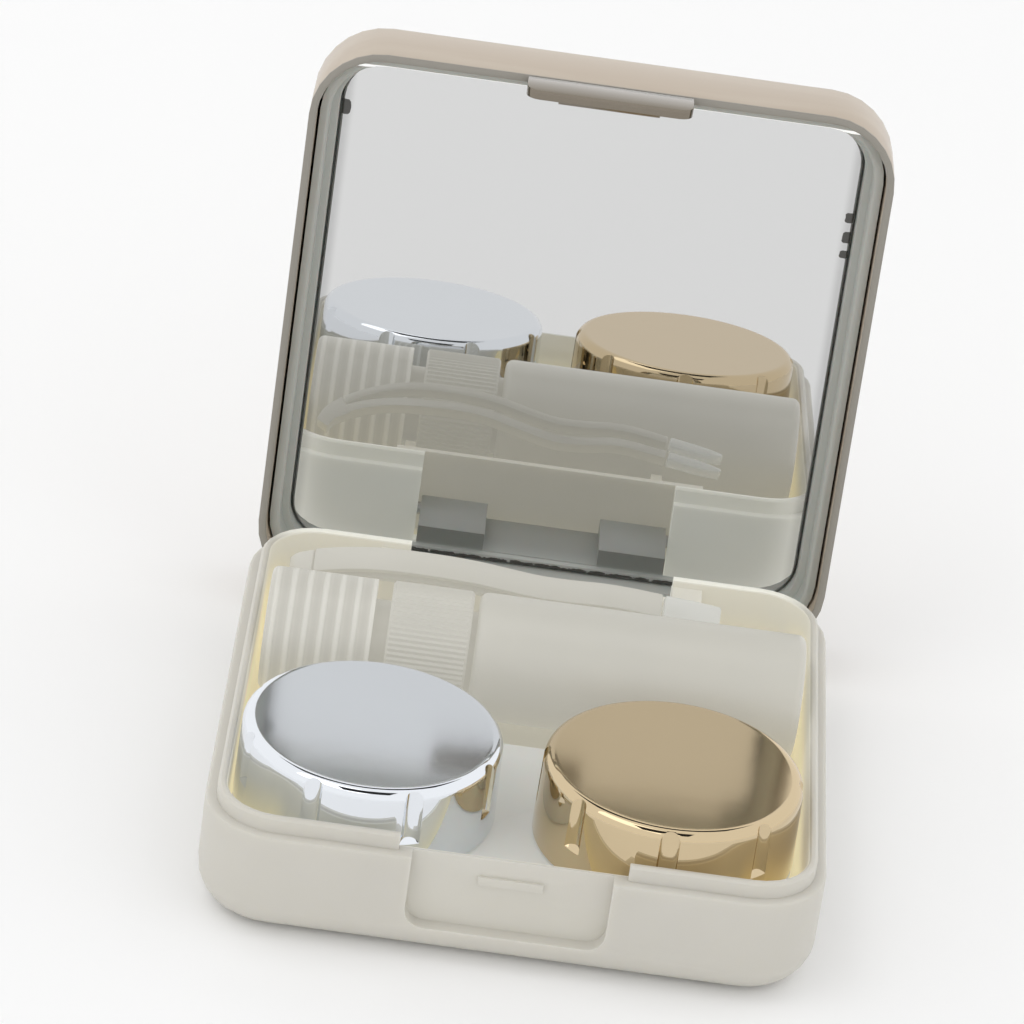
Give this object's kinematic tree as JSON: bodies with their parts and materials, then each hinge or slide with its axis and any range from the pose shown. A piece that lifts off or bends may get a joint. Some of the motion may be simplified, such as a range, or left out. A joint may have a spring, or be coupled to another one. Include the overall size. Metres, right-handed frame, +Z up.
{
  "type": "contact lens case",
  "caption": "Square hinged travel case with a mirror in its lid, holding a twin lens well with two screw caps, a small bottle and tweezers.",
  "frame": {"origin": "centre of the base's flat underside, on the surface the case stands on", "axes": "+X to the right seen from the catch side, +Y back to the hinge, +Z up"},
  "size_m": [0.07, 0.0909, 0.0738],
  "materials": {
    "milky_polypropylene": "translucent milky satin",
    "grey_liner_plastic": "satin",
    "champagne_lacquer": "satin champagne lacquer",
    "champagne_plating": "glossy champagne",
    "pin_steel": "drawn",
    "silvered_glass": "back-silvered",
    "tape_foam": "foam",
    "white_polypropylene": "satin",
    "bright_chrome_plating": "bright plated",
    "pale_gold_plating": "bright plated pale gold",
    "clear_silicone": "clear, soft",
    "frosted_polyethylene": "frosted translucent"
  },
  "bodies": {
    "tray": {"base_tray": "milky_polypropylene", "hinge_pin_left": "pin_steel", "hinge_pin_right": "pin_steel"},
    "lid": {"lid_cover": "champagne_lacquer", "lid_liner": "grey_liner_plastic", "mirror_glass": "silvered_glass", "mirror_tape": "tape_foam", "lid_catch": "champagne_plating"},
    "lens_case": {"lens_case_body": "white_polypropylene"},
    "silver_seal": {"silver_cap_seal": "clear_silicone"},
    "silver_cap": {"silver_cap_shell": "bright_chrome_plating", "silver_cap_insert": "white_polypropylene"},
    "gold_seal": {"gold_cap_seal": "clear_silicone"},
    "gold_cap": {"gold_cap_shell": "pale_gold_plating", "gold_cap_insert": "white_polypropylene"},
    "bottle": {"bottle_body": "frosted_polyethylene", "bottle_collar": "frosted_polyethylene", "bottle_nozzle": "white_polypropylene"},
    "bottle_seal": {"bottle_cap_seal": "clear_silicone"},
    "bottle_cap": {"bottle_cap": "frosted_polyethylene"},
    "tweezers": {"tweezer_lower_arm": "frosted_polyethylene", "tweezer_lower_tip": "clear_silicone"},
    "tweezers_upper": {"tweezer_upper_arm": "frosted_polyethylene", "tweezer_upper_tip": "clear_silicone"}
  },
  "joints": [
    {"name": "lid_hinge", "type": "hinge", "parent": "tray", "child": "lid", "pos_m": [0, 0.032, 0.0072], "axis": [-1, 0, 0], "range_deg": [-95, 7]},
    {"name": "lens_case_lift", "type": "slide", "parent": "tray", "child": "lens_case", "axis": [0, 0, 1], "range_m": [0, 0.03]},
    {"name": "silver_cap_travel", "type": "slide", "parent": "lens_case", "child": "silver_seal", "axis": [0, 0, 1], "range_m": [0, 0.00301]},
    {"name": "silver_cap_turn", "type": "hinge", "parent": "silver_seal", "child": "silver_cap", "pos_m": [-0.0174, -0.0174, 0.014], "axis": [0, 0, 1], "range_deg": [0, 450]},
    {"name": "gold_cap_travel", "type": "slide", "parent": "lens_case", "child": "gold_seal", "axis": [0, 0, 1], "range_m": [0, 0.00301]},
    {"name": "gold_cap_turn", "type": "hinge", "parent": "gold_seal", "child": "gold_cap", "pos_m": [0.0168, -0.0174, 0.014], "axis": [0, 0, 1], "range_deg": [0, 450]},
    {"name": "bottle_lift", "type": "slide", "parent": "tray", "child": "bottle", "axis": [0, 0, 1], "range_m": [0, 0.03]},
    {"name": "bottle_cap_travel", "type": "slide", "parent": "bottle", "child": "bottle_seal", "axis": [-1, 0, 0], "range_m": [0, 0.00061]},
    {"name": "bottle_cap_turn", "type": "hinge", "parent": "bottle_seal", "child": "bottle_cap", "pos_m": [-0.0255, 0.0101, 0.0139], "axis": [-1, 0, 0], "range_deg": [0, 90]},
    {"name": "tweezers_lift", "type": "slide", "parent": "bottle", "child": "tweezers", "axis": [0, 0, 1], "range_m": [0, 0.025]},
    {"name": "tweezers_squeeze", "type": "hinge", "parent": "tweezers", "child": "tweezers_upper", "pos_m": [-0.0271, 0.02247, 0.01658], "axis": [0, 0.788, 0.6157], "range_deg": [0, 0.85], "stiffness_Nm_per_rad": 0.05}
  ],
  "couplings": [
    {"joint": "silver_cap_travel", "follows": "silver_cap_turn", "m_per_rad": 0.00038197},
    {"joint": "gold_cap_travel", "follows": "gold_cap_turn", "m_per_rad": 0.00038197},
    {"joint": "bottle_cap_travel", "follows": "bottle_cap_turn", "m_per_rad": 0.00038197}
  ]
}
